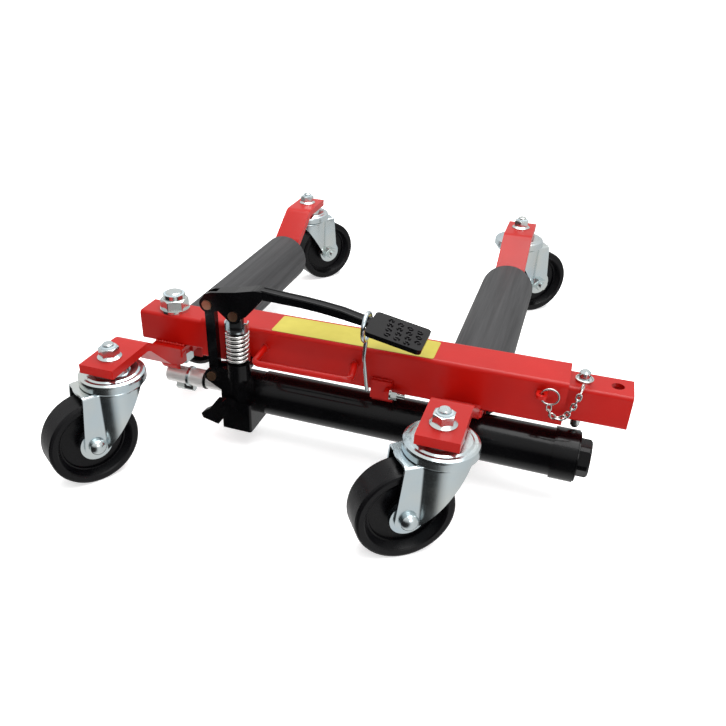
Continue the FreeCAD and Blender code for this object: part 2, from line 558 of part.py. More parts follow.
def pump_link():
    half_width = 6.0
    (x0, z0), (x1, z1) = LINK_FOOT, LINK_HEAD
    y0, y1 = PUMP_Y - LINK_HALF_T, PUMP_Y + LINK_HALF_T
    bar = prism_y([(x0 - half_width, z0), (x0 + half_width, z0), (x1 + half_width, z1), (x1 - half_width, z1)],
                  y0, y1)
    eye_r = 7.5
    body = bar.fuse([rod(eye_r, (x0, y0, z0), (x0, y1, z0)), rod(eye_r, (x1, y0, z1), (x1, y1, z1))])
    for x, z in (LINK_FOOT, LINK_HEAD):
        body = body.cut(rod(PIN_R + RUNNING, (x, y0 - 1, z), (x, y1 + 1, z)))
    return body


def plunger():
    bottom, shoulder, tongue_top = 84.0, 149.0, 8.5
    x, z = LEVER_EYE
    body = rod(PLUNGER_R, (PUMP_X, PUMP_Y, bottom), (PUMP_X, PUMP_Y, shoulder))
    tongue = box(PUMP_X - 7, PUMP_X + 7, PUMP_Y - LINK_HALF_T, PUMP_Y + LINK_HALF_T, shoulder, z)
    tongue = tongue.fuse(rod(tongue_top, (x, PUMP_Y - LINK_HALF_T, z), (x, PUMP_Y + LINK_HALF_T, z)))
    eye = rod(PIN_R + OPEN_PIVOT_PLAY, (x, PUMP_Y - 6, z), (x, PUMP_Y + 6, z))
    return body.fuse(tongue).cut(eye)


def spring_cap():
    """Open cup on the plunger that holds the top of the spring."""
    outer, wall, rim = 13.6, 1.6, 157.0
    floor = 149.0
    outline = [(PLUNGER_R + 0.02, SPRING_TOP + 0.2), (outer, SPRING_TOP + 0.2), (outer, rim),
               (outer - wall, rim), (outer - wall, floor), (PLUNGER_R + 0.02, floor)]
    cup = turned(outline, V(PUMP_X, PUMP_Y, 0))
    notch_low = 149.5
    return cup.cut(box(PUMP_X - 10, PUMP_X + 22, PUMP_Y - 20, PUMP_Y - 6.5, notch_low, rim + 1)).cut(
        box(PUMP_X - 10, PUMP_X + 22, PUMP_Y + 6.5, PUMP_Y + 20, notch_low, rim + 1))


def return_spring():
    coil_r, wire_r, turns = 11.8, 1.7, 7.0
    low = COLUMN_TOP + wire_r + 0.3
    height = SPRING_TOP - COLUMN_TOP - 2 * wire_r - 0.6
    helix = Part.makeHelix(height / turns, height, coil_r)
    section = Part.Wire(Part.makeCircle(wire_r, V(coil_r, 0, 0), Y_AXIS))
    coil = Part.Wire(helix).makePipeShell([section], True, True)
    return coil.translate(V(PUMP_X, PUMP_Y, low))


def lever_arm_outline():
    top = [(80, 200.0), (87, 200.8), (100, 199.8), (118, 198.2), (138, 197.0), (157, 195.2), (179, 192.4),
           (200, 187.4), (214, 183.0)]
    bottom = [(214, 179.0), (200, 180.6), (180, 184.0), (158, 187.0), (136, 189.0), (104, 190.4), (80, 191.0)]
    return top + bottom


def lever_head_outline():
    (ax, az), (bx, bz) = LINK_HEAD, LEVER_EYE
    return [(ax - 8, az + 4.5), (ax - 3, az + 12), (ax + 4, az + 15), (60, 195.2), (84, 200.6), (92, 200.4),
            (92, 190.6), (bx + 15.5, bz + 2), (bx + 8, bz - 3), (bx - 7, bz - 5.5), (bx - 18, bz + 3.5),
            (ax + 4, az - 8.5)]


def pedal_lever():
    (ax, az), (bx, bz) = LINK_HEAD, LEVER_EYE
    arm = prism_y(lever_arm_outline(), PUMP_Y - ARM_HALF, PUMP_Y + ARM_HALF)
    head = prism_y(lever_head_outline(), PUMP_Y - HEAD_HALF, PUMP_Y + HEAD_HALF)
    y0, y1 = PUMP_Y - HEAD_HALF, PUMP_Y + HEAD_HALF
    knuckles = [rod(9.5, (ax, y0, az), (ax, y1, az)), rod(9.0, (bx, y0, bz), (bx, y1, bz))]
    (lx, lz), (rx, rz) = PAD_LEFT, PAD_RIGHT
    pad = prism_y([(lx, lz), (rx, rz), (rx - 1, rz - PAD_T), (lx, lz - PAD_T)],
                  PUMP_Y - PAD_HALF, PUMP_Y + PAD_HALF)
    corners = [e for e in pad.Edges if abs(e.tangentAt(e.FirstParameter).y) < 0.1 and e.Length < PAD_T + 1]
    pad = pad.makeFillet(5.0, corners)
    body = head.fuse([arm, pad] + knuckles)
    slot = box(ax - 14, bx + 16, PUMP_Y - CHEEK_GAP, PUMP_Y + CHEEK_GAP, bz - 14, az + 9)
    end_slot = box(ax - 14, ax + 11, PUMP_Y - CHEEK_GAP, PUMP_Y + CHEEK_GAP, az, az + 24)
    body = body.cut(slot).cut(end_slot)
    for x, z in (LINK_HEAD, LEVER_EYE):
        body = body.cut(rod(PIN_R + 0.02, (x, y0 - 1, z), (x, y1 + 1, z)))
    return body


def pedal_pins():
    y0, y1 = PUMP_Y - HEAD_HALF, PUMP_Y + HEAD_HALF
    return Part.makeCompound([rivet(x, z, y0, y1) for x, z in (LINK_HEAD, LEVER_EYE)])


def release_lever():
    """Foot lever of the release valve: a hub with a wing, on the valve's screw."""
    x, z = RELEASE_HUB
    face, hub_front, hub_r, wing_back, wing_front = -61.3, -71.0, 11.5, -62.0, -69.0
    hub = rod(hub_r, (x, hub_front, z), (x, face, z))
    wing = prism_y([(x - 5, z + 10.5), (x - 12, z + 10), (x - 22, z - 4), (x - 29, z - 8.5), (x - 33.5, z - 13),
                    (x - 31.5, z - 18.5), (x - 12, z - 23), (x - 3, z - 11)], wing_front, wing_back)
    screw = rod(RELEASE_SCREW_R, (x, face - 2, z), (x, face + 14, z))
    cap = rod(6.5, (x, hub_front - 2.5, z), (x, hub_front, z))
    return hub.fuse([wing, screw, cap])


def hold_down_hook():
    """Wire hook: a loop round the pedal's arm and a long shank down the beam's front."""
    y, z, foot_y, foot_z = PUMP_Y, HOOK_LOOP_Z, -34.0, 96.0
    loop = Part.makeTorus(HOOK_LOOP_R, HOOK_WIRE_R, V(HOOK_X, y, z), X_AXIS)
    start = (HOOK_X, y, z - HOOK_LOOP_R)
    shank = bent_rod([start, (HOOK_X - 2, y + 1.5, z - HOOK_LOOP_R - 22), (HOOK_X + 0.5, foot_y, foot_z)],
                     30.0, HOOK_WIRE_R)
    tip = Part.makeSphere(HOOK_WIRE_R, V(HOOK_X + 0.5, foot_y, foot_z))
    return loop.fuse([shank, tip])


# ---------------------------------------------------------------- lock pin and chain

def lock_pin():
    x, tip, seat, flange_r, flange_top, knob_r, knob_top, shank_r = PIN_HOLES_X[0], 80.0, 135.3, 8.0, 138.0, 5.5, 146.5, 5.0
    outline = [(0, tip), (shank_r - 2, tip), (shank_r, tip + 3), (shank_r, seat), (flange_r, seat),
               (flange_r, flange_top), (knob_r, flange_top + 0.5), (knob_r, knob_top - 2), (knob_r - 2, knob_top),
               (0, knob_top)]
    pin = turned(outline, V(x, 0, 0))
    return pin.cut(rod(RING_HOLE_R, (x - 12, RING_HOLE_Y, RING_Z), (x + 12, RING_HOLE_Y, RING_Z)))


CHAIN_ROUTE = [(391.5, -32.4, 118.2), (394.0, -32.2, 109.5), (400.0, -31.6, 104.8), (407.0, -30.8, 106.4),
               (411.5, -29.0, 114.5), (414.5, -27.0, 124.0), (417.0, -24.8, 133.0), (419.5, -19.5, 139.8)]


def chain_link(length, width, wire_r):
    """One round-ended link lying along X in the XY plane."""
    half = (length - width) / 2
    bend = width / 2
    sides = [rod(wire_r, (-half, s * bend, 0), (half, s * bend, 0)) for s in (-1, 1)]
    ends = []
    for s in (-1, 1):
        bow = Part.makeTorus(bend, wire_r, V(0, 0, 0), Z_AXIS, -180, 180, 180)
        bow.rotate(V(0, 0, 0), Z_AXIS, -90 * s)
        ends.append(bow.translate(V(s * half, 0, 0)))
    return sides[0].fuse([sides[1]] + ends)


def lock_chain():
    """Ring in the eye, a row of links, and the ring in the lock pin's head."""
    route = Part.BSplineCurve()
    route.interpolate([V(*p) for p in CHAIN_ROUTE])
    edge = route.toShape()
    count = int(round(edge.Length / LINK_PITCH))
    link = chain_link(LINK_PITCH + 2.0, 3.6, CHAIN_WIRE_R)
    solids = []
    for i in range(count):
        place = edge.getParameterByLength(edge.Length * (i + 0.5) / count)
        along = edge.tangentAt(place).normalize()
        piece = link.copy()
        piece.rotate(V(0, 0, 0), X_AXIS, 90 * (i % 2) + 45)
        turn = FreeCAD.Rotation(X_AXIS, along)
        piece.Placement = FreeCAD.Placement(edge.valueAt(place), turn).multiply(piece.Placement)
        solids.append(piece)
    eye_ring = Part.makeTorus(RING_R, RING_WIRE_R, V(EYE_RING_X, EYE_RING_Y, EYE_RING_Z), Y_AXIS)
    pin_ring = Part.makeTorus(RING_R, RING_WIRE_R, V(PIN_HOLES_X[0], -RING_R, RING_Z), Z_AXIS)
    return Part.makeCompound(solids + [eye_ring, pin_ring])


# ---------------------------------------------------------------- assembly

def parts():
    nodes = {
        "outer_tube": outer_tube(), "right_arm_plate": right_arm_plate(),
        "right_arm_shaft": arm_shaft(RIGHT_X, OUTER_SIZE / 2 + 2),
        "right_rear_bracket": rear_bracket("rear_right"), "right_front_bracket": right_front_bracket(),
        "pump_block": pump_block(), "cylinder_tube": cylinder_tube(), "cylinder_collar": cylinder_collar(),
        "cylinder_plug": cylinder_plug(), "carry_handle": carry_handle(), "chain_eye": chain_eye(),
        "cylinder_lug": cylinder_lug().fuse(lug_bolt_ear()), "lug_bolt": lug_bolt(),
        "link_foot_pin": link_foot_pin(),
        "inner_tube": inner_tube(), "left_front_bracket": left_front_bracket(),
        "pivot_bolt": pivot_bolt(), "pivot_nut": pivot_nut(), "ram_rod": ram_rod(), "ram_lug": ram_lug(),
        "piston": piston(), "rod_collar": rod_collar(), "lock_chain": lock_chain(),
        "left_arm_eye": left_arm_eye(), "left_arm_shaft": arm_shaft(LEFT_X, 24.0),
        "left_rear_bracket": rear_bracket("rear_left"),
        "left_roller": roller(LEFT_X), "left_roller_bushes": roller_bushes(LEFT_X),
        "right_roller": roller(RIGHT_X), "right_roller_bushes": roller_bushes(RIGHT_X),
        "pedal_lever": pedal_lever(), "pedal_pins": pedal_pins(), "pump_link": pump_link(),
        "plunger": plunger(), "spring_cap": spring_cap(), "return_spring": return_spring(),
        "release_lever": release_lever(), "hold_down_hook": hold_down_hook(), "lock_pin": lock_pin(),
    }
    right_side = [(RIGHT_X, PIVOT_Y["front_right"]), (RIGHT_X, PIVOT_Y["rear_right"])]
    nodes["right_kingpins"] = Part.makeCompound([s for p in right_side for s in kingpin(*p)])
    nodes["right_swivel_cups"] = Part.makeCompound([swivel_cup(*p) for p in right_side])
    nodes["right_swivel_balls"] = Part.makeCompound([b for p in right_side for b in swivel_balls(*p)])
    for place in ("front_left", "rear_left"):
        spot = (LEFT_X, PIVOT_Y[place])
        nodes[place + "_kingpin"] = Part.makeCompound(kingpin(*spot))
        nodes[place + "_swivel_cup"] = swivel_cup(*spot)
        nodes[place + "_swivel_balls"] = Part.makeCompound(swivel_balls(*spot))
    for place in PIVOT_Y:
        nodes[place + "_fork"] = at_caster(fork(), place)
        nodes[place + "_axle"] = at_caster(Part.makeCompound(axle(fork())), place)
        nodes[place + "_wheel"] = at_caster(wheel(), place)
    return nodes


def main():
    os.makedirs("parts", exist_ok=True)
    for name, shape in parts().items():
        moved = shape.copy()
        moved.translate(ORIGIN * -1)
        if not moved.isValid() or not moved.Solids:
            print("invalid shape:", name)
        moved.exportStep("parts/" + name + ".step")
    print(len(os.listdir("parts")), "nodes written")


main()
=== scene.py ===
"""Wheel dolly: materials, surface detail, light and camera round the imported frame."""
import bpy
import bmesh
import json
import math
from mathutils import Matrix, Vector

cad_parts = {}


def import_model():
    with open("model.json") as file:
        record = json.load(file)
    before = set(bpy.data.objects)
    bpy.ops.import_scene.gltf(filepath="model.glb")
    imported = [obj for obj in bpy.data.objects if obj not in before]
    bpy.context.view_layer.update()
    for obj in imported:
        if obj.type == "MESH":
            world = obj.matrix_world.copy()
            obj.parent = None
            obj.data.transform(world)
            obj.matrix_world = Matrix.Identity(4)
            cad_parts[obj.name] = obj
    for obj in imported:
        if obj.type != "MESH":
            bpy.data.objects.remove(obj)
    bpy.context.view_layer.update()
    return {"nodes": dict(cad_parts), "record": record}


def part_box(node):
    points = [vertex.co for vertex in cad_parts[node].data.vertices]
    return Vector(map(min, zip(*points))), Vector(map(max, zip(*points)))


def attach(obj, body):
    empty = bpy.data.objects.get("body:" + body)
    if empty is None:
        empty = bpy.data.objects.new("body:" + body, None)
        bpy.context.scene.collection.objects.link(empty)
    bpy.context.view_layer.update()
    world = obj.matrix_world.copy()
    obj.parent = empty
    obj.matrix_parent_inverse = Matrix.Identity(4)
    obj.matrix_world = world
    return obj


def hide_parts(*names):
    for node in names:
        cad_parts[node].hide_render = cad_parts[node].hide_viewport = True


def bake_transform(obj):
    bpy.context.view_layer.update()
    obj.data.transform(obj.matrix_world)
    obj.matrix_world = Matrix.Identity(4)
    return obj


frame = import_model()
nodes = frame["nodes"]

MM = 0.001
PEDAL_Y = -45             # the pedal's, the spring's and the plunger's centre line
ROD_Y, ROD_Z = -15, 53.5  # the ram's centre line
BEAM_TOP = 141            # top of the outer tube
CHAIN_STEPS = 400         # points along the lock chain's route
EDGE_BEVEL = 0.5          # width of the rounding on every CAD edge
FLOOR_HALF = 30.0         # metres
BACKDROP_RADIUS = 28      # metres
beam_low, beam_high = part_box("outer_tube")
BEAM_ORIGIN = Vector((beam_low.x, (beam_low.y + beam_high.y) / 2, 0))


def at(x, y, z):
    """A point in millimetres from the outer tube's left end, the beam's centre line and the floor."""
    return BEAM_ORIGIN + Vector((x, y, z)) * MM


# ---------------------------------------------------------------- materials

class Shader:
    """A principled material and the node helpers that its pattern is built from."""

    def __init__(self, name, colour, roughness, metallic=0.0, coat=0.0, coat_roughness=0.05, specular=0.5):
        self.material = bpy.data.materials.new(name)
        self.material.use_nodes = True
        self.tree = self.material.node_tree
        self.bsdf = self.tree.nodes["Principled BSDF"]
        self.set("Base Color", (*colour, 1))
        self.set("Roughness", roughness)
        self.set("Metallic", metallic)
        self.set("Coat Weight", coat)
        self.set("Coat Roughness", coat_roughness)
        self.set("Specular IOR Level", specular)
        self.material.diffuse_color = (*colour, 1)
        self.normal = None

    def set(self, socket, value):
        self.bsdf.inputs[socket].default_value = value

    def feed(self, socket, output):
        self.tree.links.new(output, self.bsdf.inputs[socket])

    def node(self, kind, **inputs):
        n = self.tree.nodes.new(kind)
        for key, value in inputs.items():
            self.plug(n.inputs[key.replace("_", " ")], value)
        return n

    def plug(self, socket, value):
        if isinstance(value, bpy.types.NodeSocket):
            self.tree.links.new(value, socket)
        else:
            socket.default_value = value

    def place(self, scale):
        """Object coordinates, stretched by a scale for each axis."""
        coords = self.tree.nodes.new("ShaderNodeTexCoord")
        mapping = self.node("ShaderNodeMapping", Vector=coords.outputs["Object"], Scale=scale)
        return mapping.outputs["Vector"]

    def noise(self, scale, detail=4.0, roughness=0.55, stretch=(1, 1, 1)):
        n = self.node("ShaderNodeTexNoise", Vector=self.place(stretch), Scale=scale, Detail=detail,
                      Roughness=roughness)
        return n.outputs["Fac"]

    def ramp(self, fac, *stops):
        """A colour ramp: stops are (place, grey or colour)."""
        n = self.tree.nodes.new("ShaderNodeValToRGB")
        self.plug(n.inputs["Fac"], fac)
        elements = n.color_ramp.elements
        while len(elements) < len(stops):
            elements.new(0.5)
        for element, (place, value) in zip(elements, stops):
            element.position = place
            element.color = (*value, 1) if isinstance(value, tuple) else (value, value, value, 1)
        return n.outputs["Color"]

    def math(self, operation, a, b):
        n = self.tree.nodes.new("ShaderNodeMath")
        n.operation = operation
        self.plug(n.inputs[0], a)
        self.plug(n.inputs[1], b)
        return n.outputs["Value"]

    def mix(self, fac, a, b):
        n = self.tree.nodes.new("ShaderNodeMix")
        n.data_type = "RGBA"
        self.plug(n.inputs["Factor"], fac)
        for socket, value in (("A_Color", a), ("B_Color", b)):
            target = next(s for s in n.inputs if s.identifier == socket)
            self.plug(target, (*value, 1) if isinstance(value, tuple) else value)
        return next(s for s in n.outputs if s.identifier == "Result_Color")

    def bump(self, height, strength, distance):
        """Add a layer of bump over any that is there already."""
        n = self.node("ShaderNodeBump", Height=height, Strength=strength, Distance=distance)
        if self.normal is not None:
            self.plug(n.inputs["Normal"], self.normal)
        self.normal = n.outputs["Normal"]
        self.feed("Normal", self.normal)
        return self


def red_paint():
    m = Shader("red_paint", (0.44, 0.003, 0.001), 0.36, coat=0.22, coat_roughness=0.12, specular=0.2)
    tone = m.ramp(m.noise(9, 3), (0.3, (0.34, 0.003, 0.0008)), (0.7, (0.43, 0.004, 0.0012)))
    scuffs = m.ramp(m.noise(60, 6, 0.7, (1, 0.35, 1)), (0.66, 0.0), (0.74, 1.0))
    m.feed("Base Color", m.mix(m.math("MULTIPLY", scuffs, 0.25), tone, (0.55, 0.04, 0.03)))
    m.feed("Roughness", m.ramp(m.noise(25, 5), (0.3, 0.28), (0.75, 0.44)))
    m.bump(m.noise(420, 2), 0.10, 0.0004)
    return m.bump(m.noise(45, 2), 0.14, 0.0012).material


def black_gloss():
    m = Shader("black_gloss_paint", (0.002, 0.002, 0.0025), 0.2, coat=0.12, coat_roughness=0.04, specular=0.2)
    m.feed("Base Color", m.ramp(m.noise(14, 4), (0.3, (0.001, 0.001, 0.0014)), (0.75, (0.003, 0.003, 0.0035))))
    m.feed("Roughness", m.ramp(m.noise(30, 5), (0.3, 0.14), (0.75, 0.3)))
    return m.bump(m.noise(160, 3), 0.12, 0.0006).material


def zinc(name="zinc_plate", tint=(0.68, 0.73, 0.73), rough=(0.16, 0.28)):
    m = Shader(name, tint, rough[0], metallic=1.0)
    warm = tuple(c * f for c, f in zip(tint, (1.04, 1.0, 0.95)))
    cool = tuple(c * f for c, f in zip(tint, (0.86, 0.95, 1.03)))
    m.feed("Base Color", m.ramp(m.noise(18, 3), (0.3, warm), (0.7, cool)))
    m.feed("Roughness", m.ramp(m.noise(55, 6, 0.65), (0.3, rough[0]), (0.75, rough[1])))
    return m.bump(m.noise(260, 3), 0.08, 0.0004).material


def chrome(name="satin_steel", rough=(0.3, 0.42), metallic=0.55):
    m = Shader(name, (0.82, 0.81, 0.79), rough[0], metallic=metallic)
    turned = m.noise(220, 2, 0.5, (1, 0.08, 0.08))
    m.feed("Roughness", m.ramp(turned, (0.35, rough[0]), (0.75, rough[1])))
    m.feed("Base Color", m.ramp(m.noise(40, 3), (0.3, (0.78, 0.77, 0.75)), (0.7, (0.86, 0.85, 0.83))))
    return m.bump(turned, 0.05, 0.0003).material


def roller_paint():
    m = Shader("roller_charcoal", (0.035, 0.035, 0.036), 0.5, specular=0.3)
    streak = m.noise(120, 5, 0.65, (1, 0.03, 1))
    m.feed("Base Color", m.ramp(streak, (0.3, (0.022, 0.022, 0.023)), (0.7, (0.048, 0.048, 0.05))))
    m.feed("Roughness", m.ramp(m.noise(160, 4, 0.6, (1, 0.05, 1)), (0.3, 0.42), (0.7, 0.6)))
    m.bump(streak, 0.18, 0.0005)
    return m.bump(m.noise(500, 2), 0.1, 0.0003).material


def wheel_plastic():
    m = Shader("wheel_black", (0.002, 0.002, 0.0028), 0.2, specular=0.2)
    tone = m.ramp(m.noise(12, 4), (0.3, (0.0012, 0.0012, 0.0018)), (0.75, (0.0035, 0.0032, 0.004)))
    m.feed("Base Color", tone)
    m.feed("Roughness", m.ramp(m.noise(70, 5, 0.6), (0.3, 0.2), (0.75, 0.4)))
    m.bump(m.noise(90, 4), 0.08, 0.0006)
    return m.bump(m.noise(26, 2), 0.2, 0.002).material


def copper():
    m = Shader("copper_rivet", (0.72, 0.4, 0.24), 0.32, metallic=1.0)
    m.feed("Base Color", m.ramp(m.noise(90, 3), (0.35, (0.62, 0.33, 0.2)), (0.7, (0.82, 0.52, 0.33))))
    return m.bump(m.noise(400, 2), 0.1, 0.0003).material


def label_yellow():
    m = Shader("plain_yellow_label", (0.6, 0.52, 0.06), 0.4, specular=0.4)
    m.feed("Base Color", m.ramp(m.noise(30, 4), (0.3, (0.40, 0.34, 0.035)), (0.75, (0.50, 0.43, 0.06))))
    return m.bump(m.noise(80, 3), 0.1, 0.0004).material


def dark_steel():
    m = Shader("oiled_dark_steel", (0.05, 0.05, 0.052), 0.3, metallic=0.8)
    m.feed("Base Color", m.ramp(m.noise(60, 4), (0.3, (0.035, 0.035, 0.037)), (0.75, (0.07, 0.07, 0.072))))
    return m.bump(m.noise(250, 3), 0.08, 0.0003).material


def nylon():
    m = Shader("pale_blue_nylon", (0.45, 0.52, 0.56), 0.5, specular=0.4)
    m.feed("Base Color", m.ramp(m.noise(90, 3), (0.3, (0.38, 0.46, 0.5)), (0.75, (0.52, 0.58, 0.6))))
    return m.bump(m.noise(300, 3), 0.1, 0.0003).material


looks = {
    "red_paint": red_paint(), "black_paint": black_gloss(), "zinc": zinc(), "chrome": chrome(),
    "roller_paint": roller_paint(), "wheel_plastic": wheel_plastic(), "copper": copper(),
    "label_yellow": label_yellow(), "nylon": nylon(), "dark_steel": dark_steel(),
    "spring_steel": chrome("spring_steel", (0.08, 0.16), 1.0),
    "nickel": zinc("nickel_chain", (0.72, 0.70, 0.66), (0.14, 0.3)),
}
slot_of = {s["node"]: s["material_slot"] for s in frame["record"]["subparts"]}

for name, node in nodes.items():
    node.data.materials.clear()
    node.data.materials.append(looks[slot_of[name]])
    bevel = node.modifiers.new("soft_edges", "BEVEL")
    bevel.width = EDGE_BEVEL * MM
    bevel.segments = 2
    bevel.limit_method = "ANGLE"
    bevel.angle_limit = math.radians(40)
    bevel.harden_normals = True


# ---------------------------------------------------------------- added detail

def sweep(bm, points, radius, closed=False, sides=12):
    """Add a round wire along the points; radius is one value or one for each point."""
    count, rings, normal = len(points), [], None
    for i, point in enumerate(points):
        before = points[i - 1] if i > 0 or closed else point
        after = points[(i + 1) % count] if i < count - 1 or closed else point
        along = (after - before).normalized()
        normal = along.orthogonal() if normal is None else normal - along * normal.dot(along)
        normal.normalize()
        other = along.cross(normal)
        r = radius[i] if isinstance(radius, list) else radius
        turns = [2 * math.pi * k / sides for k in range(sides)]
        rings.append([bm.verts.new(point + r * (math.cos(a) * normal + math.sin(a) * other)) for a in turns])
    follow = rings[1:] + ([rings[0]] if closed else [])
    for low, high in zip(rings, follow):
        for k in range(sides):
            bm.faces.new((low[k], low[(k + 1) % sides], high[(k + 1) % sides], high[k]))
    if not closed:
        bm.faces.new(rings[0][::-1])
        bm.faces.new(rings[-1])


def lathe(bm, profile, centre, axis, sides=40):
    """Turn (radius, height) points round an axis through centre."""
    axis = Vector(axis).normalized()
    side = axis.orthogonal().normalized()
    other = axis.cross(side)
    rings = []
    turns = [2 * math.pi * k / sides for k in range(sides)]
    for r, h in profile:
        spots = [axis * h + side * (r * math.cos(a)) + other * (r * math.sin(a)) for a in turns]
        rings.append([bm.verts.new(centre + spot * MM) for spot in spots])
    for low, high in zip(rings, rings[1:] + rings[:1]):
        for k in range(sides):
            bm.faces.new((low[k], low[(k + 1) % sides], high[(k + 1) % sides], high[k]))


def piece(name, bm, look, body=None, smooth_angle=40):
    """Turn a bmesh into a named object with a material, riding on a body."""
    bmesh.ops.recalc_face_normals(bm, faces=bm.faces)
    mesh = bpy.data.meshes.new(name)
    bm.to_mesh(mesh)
    bm.free()
    mesh.materials.append(looks[look])
    mesh.shade_smooth()
    mesh.set_sharp_from_angle(angle=math.radians(smooth_angle))
    obj = bpy.data.objects.new(name, mesh)
    bpy.context.collection.objects.link(obj)
    if body:
        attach(obj, body)
    return obj


def spring():
    """Return spring with a closed coil at each end."""
    bm = bmesh.new()
    x, low, high = 57, 109.2, 145.0
    coil_r, wire_r, turns, steps = 12.2, 1.8, 7.5, 32
    pitch_dead, free = 3.65, turns - 2
    rise = (high - low - 2 * pitch_dead) / free
    points = []
    for i in range(int(turns * steps) + 1):
        t = i / steps
        height = pitch_dead * min(t, 1) + rise * min(max(t - 1, 0), free) + pitch_dead * max(t - 1 - free, 0)
        a = 2 * math.pi * t
        points.append(at(x + coil_r * math.cos(a), PEDAL_Y + coil_r * math.sin(a), low + height))
    sweep(bm, points, wire_r * MM)
    obj = piece("return_spring_coil", bm, "spring_steel")
    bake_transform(obj)
    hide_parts("return_spring")


def ring_loop(bm, centre, radius, wire_r, axis, sides=40):
    """A closed wire ring; radii in millimetres."""
    axis = Vector(axis).normalized()
    side = axis.orthogonal().normalized()
    other = axis.cross(side)
    points = [centre + (side * math.cos(2 * math.pi * k / sides) + other * math.sin(2 * math.pi * k / sides))
              * radius * MM for k in range(sides)]
    sweep(bm, points, wire_r * MM, closed=True)


def link(bm, centre, along, across, length, width, wire_r, steps=8):
    """One round-ended chain link."""
    half, bend = (length - width) / 2, width / 2
    points = []
    for end in (1, -1):
        for k in range(steps + 1):
            a = math.pi * (k / steps - 0.5)
            x, y = end * (half + bend * math.cos(a)), end * bend * math.sin(a)
            points.append(centre + (along * x + across * y) * MM)
    sweep(bm, points, wire_r * MM, closed=True, sides=8)


def catmull(points, t):
    """A point on a smooth curve through the points, t from 0 to 1."""
    spans = len(points) - 1
    i = min(int(t * spans), spans - 1)
    u = t * spans - i
    p0, p1, p2, p3 = (points[min(max(i + k, 0), spans)] for k in (-1, 0, 1, 2))
    return 0.5 * (2 * p1 + (p2 - p0) * u + (2 * p0 - 5 * p1 + 4 * p2 - p3) * u ** 2
                  + (3 * p1 - p0 - 3 * p2 + p3) * u ** 3)


def chain():
    """Ring in the beam's eye, a row of links, and the ring in the lock pin's head."""
    route = [at(*p) for p in ((391.5, -32.4, 118.2), (394.0, -32.2, 109.5), (400.0, -31.6, 104.8),
                              (407.0, -31.2, 106.4), (412.2, -30.4, 114.5), (416.0, -28.6, 124.0),
                              (418.4, -25.6, 133.0), (420.0, -19.5, 139.8))]
    samples = [catmull(route, k / CHAIN_STEPS) for k in range(CHAIN_STEPS + 1)]
    lengths = [0.0]
    for a, b in zip(samples, samples[1:]):
        lengths.append(lengths[-1] + (b - a).length)
    count, length, width, wire_r = 12, 7.0, 4.3, 0.95
    half = count // 2
    pieces_of = (bmesh.new(), bmesh.new())
    ring_loop(pieces_of[0], at(391.3, -32.0, 127.5), 8.6, 1.0, (0, 1, 0))
    ring_loop(pieces_of[1], at(420.0, -8.0, 141.6), 8.0, 0.9, (0, 0, 1))
    for i in range(count):
        want = lengths[-1] * (i + 0.5) / count
        k = next(j for j, value in enumerate(lengths) if value >= want)
        along = (samples[min(k + 4, CHAIN_STEPS)] - samples[max(k - 4, 0)]).normalized()
        across = along.orthogonal().normalized()
        turn = Matrix.Rotation(math.radians(38 + 90 * (i % 2)), 3, along)
        link(pieces_of[i >= half], samples[k], along, turn @ across, length, width, wire_r)
    eye_side = piece("lock_chain_eye_side", pieces_of[0], "nickel")
    pin_side = piece("lock_chain_pin_side", pieces_of[1], "nickel")
    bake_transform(eye_side)
    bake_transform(pin_side)
    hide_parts("lock_chain")
    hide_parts("lock_chain")


def pad_plane(s, y, lift):
    """A point on the pad's top: s runs from its inner edge, y across it, lift above it (mm)."""
    start, end = Vector((209.0, 0, 184.6)), Vector((267.5, 0, 172.9))
    along = (end - start).normalized()
    up = Vector((-along.z, 0, along.x))
    spot = start + along * s + up * lift
    return at(spot.x, PEDAL_Y + y, spot.z)


def pad_tread():
    """Raised horseshoes in staggered rows on the foot pad."""
    bm = bmesh.new()
    arc_r, wire_r, steps = 2.5, 0.95, 12
    start_angle, arc_angle, turn_each = -60, 290, 25
    column_gap, row_gap, lift, far_edge = 10.6, 10.2, 0.35, 54
    for column in range(4):
        for row in range(4):
            s, y = 18.5 + column_gap * column + 1.2 * row, 15.5 - row_gap * row - 1.6 * column
            if s > far_edge or (column == 3 and row == 3):
                continue
            points = []
            for k in range(steps + 1):
                a = math.radians(start_angle + arc_angle * k / steps + turn_each * (row - column))
                points.append(pad_plane(s + arc_r * math.cos(a), y + arc_r * math.sin(a), lift))
            sweep(bm, points, wire_r * MM, sides=10)
    piece("pad_tread", bm, "black_paint", "pedal")


def arm_ribs():
    """Two rounded ribs along the top of the pedal's arm."""
    bm = bmesh.new()
    off_centre, rib_r, sunk = 4.6, 1.5, 0.5
    top = [(90, 200.7), (100, 199.8), (118, 198.2), (138, 197.0), (157, 195.2), (179, 192.4), (200, 187.4),
           (208, 184.8)]
    for y in (-off_centre, off_centre):
        points = [at(x, PEDAL_Y + y, z - sunk) for x, z in top]
        sweep(bm, points, rib_r * MM, sides=12)
    piece("arm_ribs", bm, "black_paint", "pedal")


